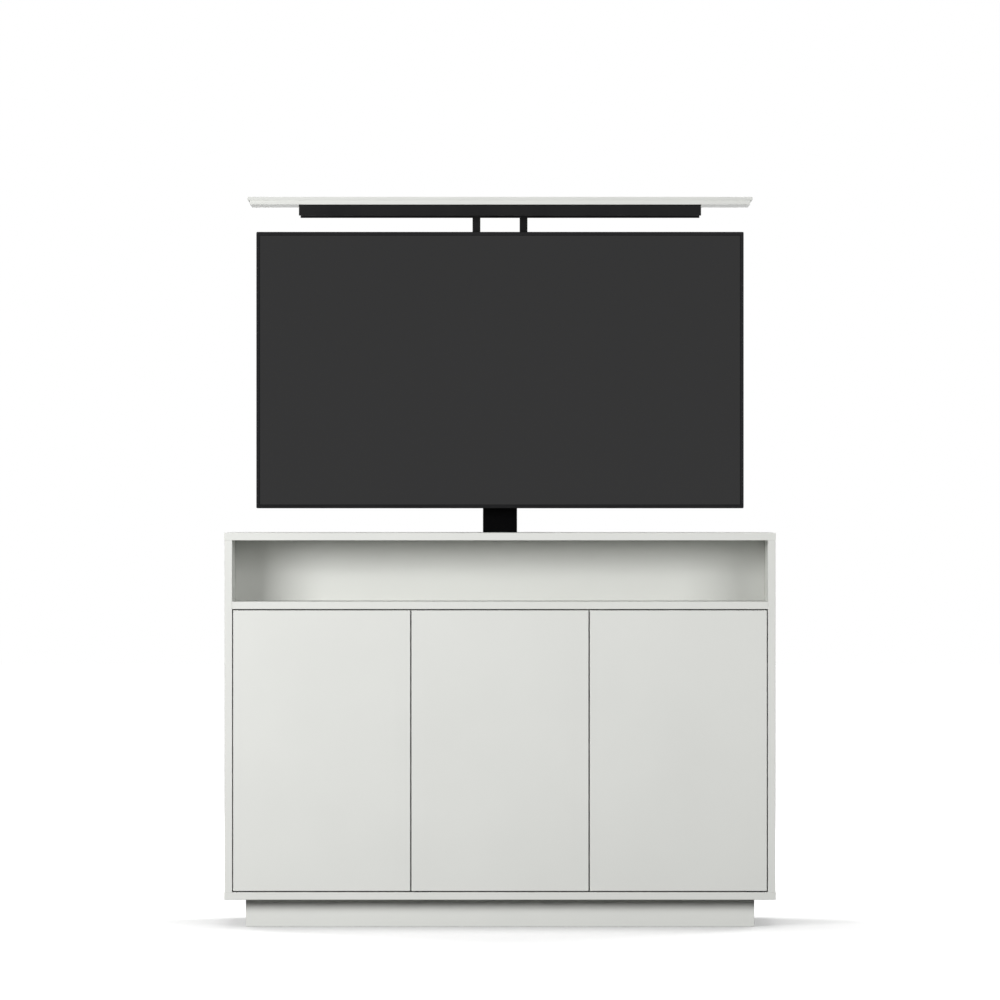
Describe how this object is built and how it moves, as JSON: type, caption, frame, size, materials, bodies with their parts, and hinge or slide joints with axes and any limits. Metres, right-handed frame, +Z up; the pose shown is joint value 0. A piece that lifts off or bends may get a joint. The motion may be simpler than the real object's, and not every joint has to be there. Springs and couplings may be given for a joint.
{
  "type": "tv lift cabinet",
  "caption": "White lacquered sideboard with an open niche over flush doors on a recessed plinth, and a telescopic lift raising a flat television and its lid through the top.",
  "frame": {"origin": "on the floor, at the centre of the cabinet's footprint", "axes": "+X to the right seen from the front, -Y towards the viewer, +Z up"},
  "size_m": [1.38, 0.49, 1.838],
  "materials": {
    "lacquered_board": "satin lacquer on board",
    "black_steel": "fine satin powder coat",
    "zinc_steel": "zinc plated",
    "grey_plastic": "moulded, light grey",
    "black_plastic": "moulded, fine texture",
    "bronze": "turned bronze",
    "dark_aluminium": "brushed, anodised black",
    "screen_film": "anti-glare display film"
  },
  "bodies": {
    "cabinet": {"top_panel": "lacquered_board", "bottom_panel": "lacquered_board", "side_panel_left": "lacquered_board", "side_panel_right": "lacquered_board", "niche_shelf": "lacquered_board", "compartment_partition": "lacquered_board", "divider_left": "lacquered_board", "divider_right": "lacquered_board", "plinth_front": "lacquered_board", "plinth_rear": "lacquered_board", "plinth_side_left": "lacquered_board", "plinth_side_right": "lacquered_board", "back_panel": "lacquered_board", "inner_shelf_left": "lacquered_board", "inner_shelf_middle": "lacquered_board", "inner_shelf_right": "lacquered_board", "lift_base_plate": "black_steel", "lift_outer_column": "black_steel", "lift_motor": "black_steel", "lift_outer_collar": "black_plastic", "lift_control_box": "black_plastic", "door_left_upper_pivot": "zinc_steel", "door_left_lower_pivot": "zinc_steel", "door_left_latch": "grey_plastic", "door_middle_upper_pivot": "zinc_steel", "door_middle_lower_pivot": "zinc_steel", "door_middle_latch": "grey_plastic", "door_right_upper_pivot": "zinc_steel", "door_right_lower_pivot": "zinc_steel", "door_right_latch": "grey_plastic"},
    "lift_screw": {"lift_screw": "zinc_steel"},
    "middle_stage": {"lift_middle_column": "black_steel", "lift_middle_collar": "black_plastic", "lift_nut": "bronze"},
    "carriage": {"lift_inner_column": "black_steel", "lift_head_bracket": "black_steel", "lid_panel": "lacquered_board", "tv_rail_left": "black_steel", "tv_rail_right": "black_steel", "lid_tray": "black_steel", "lid_tray_plate": "black_steel", "lid_post_left": "black_steel", "lid_post_right": "black_steel", "tv_back_cover": "black_plastic", "tv_electronics_cover": "black_plastic", "tv_frame": "dark_aluminium", "tv_screen": "screen_film"},
    "left_door": {"door_left": "lacquered_board", "door_left_upper_bush": "grey_plastic", "door_left_lower_bush": "grey_plastic"},
    "left_plunger": {"door_left_latch_plunger": "black_plastic"},
    "middle_door": {"door_middle": "lacquered_board", "door_middle_upper_bush": "grey_plastic", "door_middle_lower_bush": "grey_plastic"},
    "middle_plunger": {"door_middle_latch_plunger": "black_plastic"},
    "right_door": {"door_right": "lacquered_board", "door_right_upper_bush": "grey_plastic", "door_right_lower_bush": "grey_plastic"},
    "right_plunger": {"door_right_latch_plunger": "black_plastic"}
  },
  "joints": [
    {"name": "middle_stage_slide", "type": "slide", "parent": "cabinet", "child": "middle_stage", "axis": [0, 0, 1], "range_m": [-0.425, 0]},
    {"name": "carriage_slide", "type": "slide", "parent": "middle_stage", "child": "carriage", "axis": [0, 0, 1], "range_m": [-0.425, 0]},
    {"name": "screw_turn", "type": "hinge", "parent": "cabinet", "child": "lift_screw", "pos_m": [0, 0.1375, 0.107], "axis": [0, 0, 1], "range_deg": [-7650, 0]},
    {"name": "left_door_hinge", "type": "hinge", "parent": "cabinet", "child": "left_door", "pos_m": [-0.6525, -0.237, 0.443], "axis": [0, 0, -1], "range_deg": [0, 110]},
    {"name": "middle_door_hinge", "type": "hinge", "parent": "cabinet", "child": "middle_door", "pos_m": [-0.2065, -0.237, 0.443], "axis": [0, 0, -1], "range_deg": [0, 110]},
    {"name": "right_door_hinge", "type": "hinge", "parent": "cabinet", "child": "right_door", "pos_m": [0.6525, -0.237, 0.443], "axis": [0, 0, 1], "range_deg": [0, 110]},
    {"name": "left_plunger_slide", "type": "slide", "parent": "cabinet", "child": "left_plunger", "axis": [0, -1, 0], "range_m": [0, 0.014]},
    {"name": "middle_plunger_slide", "type": "slide", "parent": "cabinet", "child": "middle_plunger", "axis": [0, -1, 0], "range_m": [0, 0.014]},
    {"name": "right_plunger_slide", "type": "slide", "parent": "cabinet", "child": "right_plunger", "axis": [0, -1, 0], "range_m": [0, 0.014]}
  ],
  "couplings": [
    {"joint": "carriage_slide", "follows": "middle_stage_slide", "ratio": 1},
    {"joint": "screw_turn", "follows": "middle_stage_slide", "rad_per_m": 314.16},
    {"joint": "left_plunger_slide", "follows": "left_door_hinge", "m_per_rad": 0.007291},
    {"joint": "middle_plunger_slide", "follows": "middle_door_hinge", "m_per_rad": 0.007291},
    {"joint": "right_plunger_slide", "follows": "right_door_hinge", "m_per_rad": 0.007291}
  ]
}
